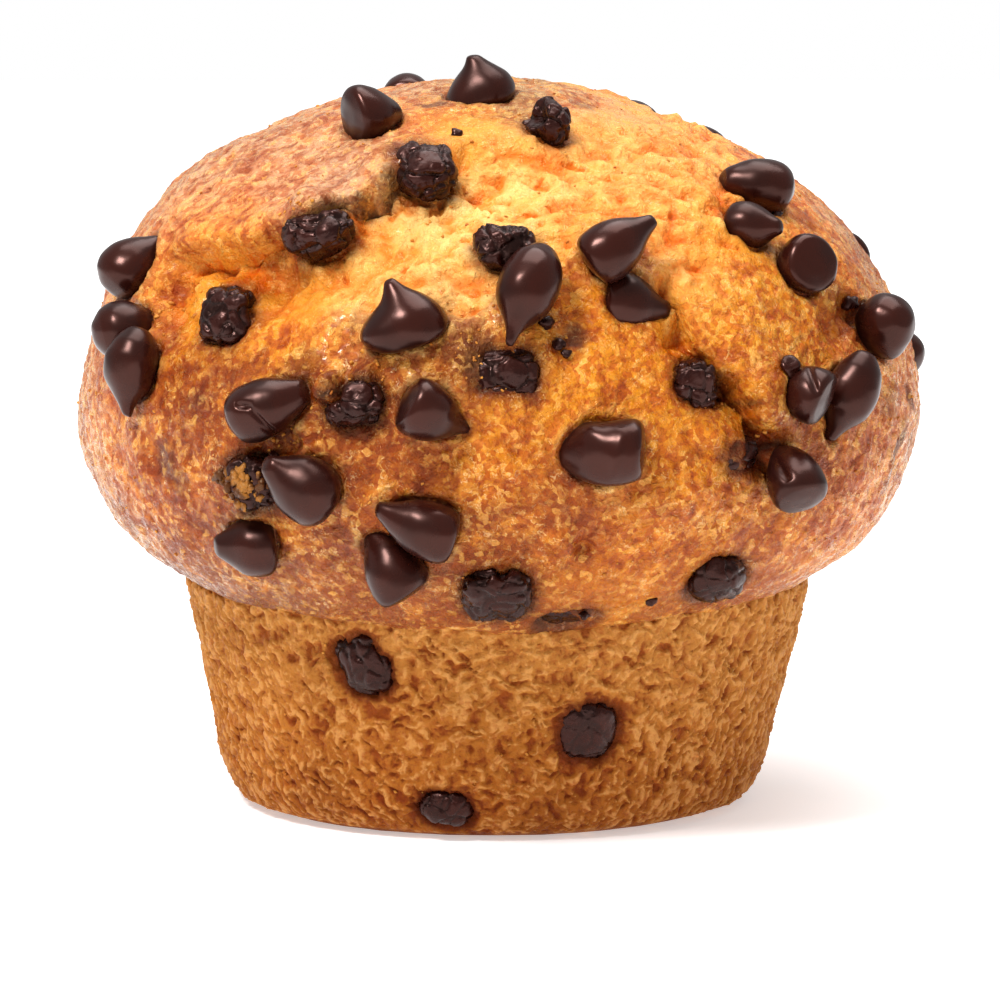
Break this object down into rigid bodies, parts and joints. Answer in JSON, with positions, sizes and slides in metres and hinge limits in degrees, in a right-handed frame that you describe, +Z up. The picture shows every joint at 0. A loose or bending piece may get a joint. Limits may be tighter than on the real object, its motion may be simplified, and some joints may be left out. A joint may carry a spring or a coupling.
{
  "type": "muffin",
  "caption": "Chocolate chip muffin without a paper case: wide domed, cracked crown over a tapered stump, with chocolate drops and melted chips set in the crust.",
  "frame": {"origin": "on the floor the muffin stands on, at the middle of its bounding box in X and Y", "axes": "+Z up through the crown, -Y towards the front, which shows the cracked side of the crown, +X to the right seen from the front"},
  "size_m": [0.1006, 0.108, 0.0902],
  "materials": {
    "crust": "golden brown baked crust, slightly greasy, with open yellow crumb in the splits",
    "chocolate": "satin dark chocolate",
    "melted_chocolate": "dull, wrinkled, melted dark chocolate"
  },
  "bodies": {
    "root": {"muffin": "crust", "chip_drop_top_left": "chocolate", "chip_drop_top_left_back": "chocolate", "chip_drop_top": "chocolate", "chip_drop_edge_left_high": "chocolate", "chip_drop_edge_left_mid": "chocolate", "chip_drop_edge_left_low": "chocolate", "chip_drop_ridge": "chocolate", "chip_drop_tear": "chocolate", "chip_drop_pair_upper": "chocolate", "chip_drop_pair_lower": "chocolate", "chip_drop_shoulder_high": "chocolate", "chip_drop_shoulder_small": "chocolate", "chip_drop_shoulder_disc": "chocolate", "chip_drop_edge_right_disc": "chocolate", "chip_drop_edge_right_behind": "chocolate", "chip_drop_cluster_disc": "chocolate", "chip_drop_cluster_drop": "chocolate", "chip_drop_low_disc": "chocolate", "chip_drop_front_right": "chocolate", "chip_drop_folded": "chocolate", "chip_drop_front_mid": "chocolate", "chip_drop_front_left_big": "chocolate", "chip_drop_front_left_low": "chocolate", "chip_drop_front_upper": "chocolate", "chip_drop_front_lower": "chocolate", "chip_drop_back_left_high": "chocolate", "chip_drop_back_left_low": "chocolate", "chip_drop_back_top": "chocolate", "chip_drop_back_mid": "chocolate", "chip_drop_back_right_high": "chocolate", "chip_drop_back_right_mid": "chocolate", "chip_drop_back_right_low": "chocolate", "chip_drop_back_low": "chocolate", "chip_drop_side_right_low": "chocolate", "chip_melted_top_broken": "melted_chocolate", "chip_melted_ledge_lump": "melted_chocolate", "chip_melted_ledge_wrinkled": "melted_chocolate", "chip_melted_left_block": "melted_chocolate", "chip_melted_valley_wrinkled": "melted_chocolate", "chip_melted_under_tear": "melted_chocolate", "chip_melted_split_block": "melted_chocolate", "chip_melted_split_buried": "melted_chocolate", "chip_melted_front_wrinkled": "melted_chocolate", "chip_melted_crumbed": "melted_chocolate", "chip_melted_lip_wrinkled": "melted_chocolate", "chip_melted_lip_smear": "melted_chocolate", "chip_melted_lip_chunk": "melted_chocolate", "chip_melted_back_ledge": "melted_chocolate", "chip_melted_back_left_wrinkled": "melted_chocolate", "chip_melted_back_right_wrinkled": "melted_chocolate", "chip_melted_back_lip": "melted_chocolate", "chip_sunk_wall_left": "melted_chocolate", "chip_sunk_wall_right": "melted_chocolate", "chip_sunk_floor_edge": "melted_chocolate", "chip_sunk_wall_side_right": "melted_chocolate", "chip_sunk_wall_side_left": "melted_chocolate", "chip_sunk_wall_back_right": "melted_chocolate", "chip_sunk_wall_back_left": "melted_chocolate"}
  },
  "joints": []
}
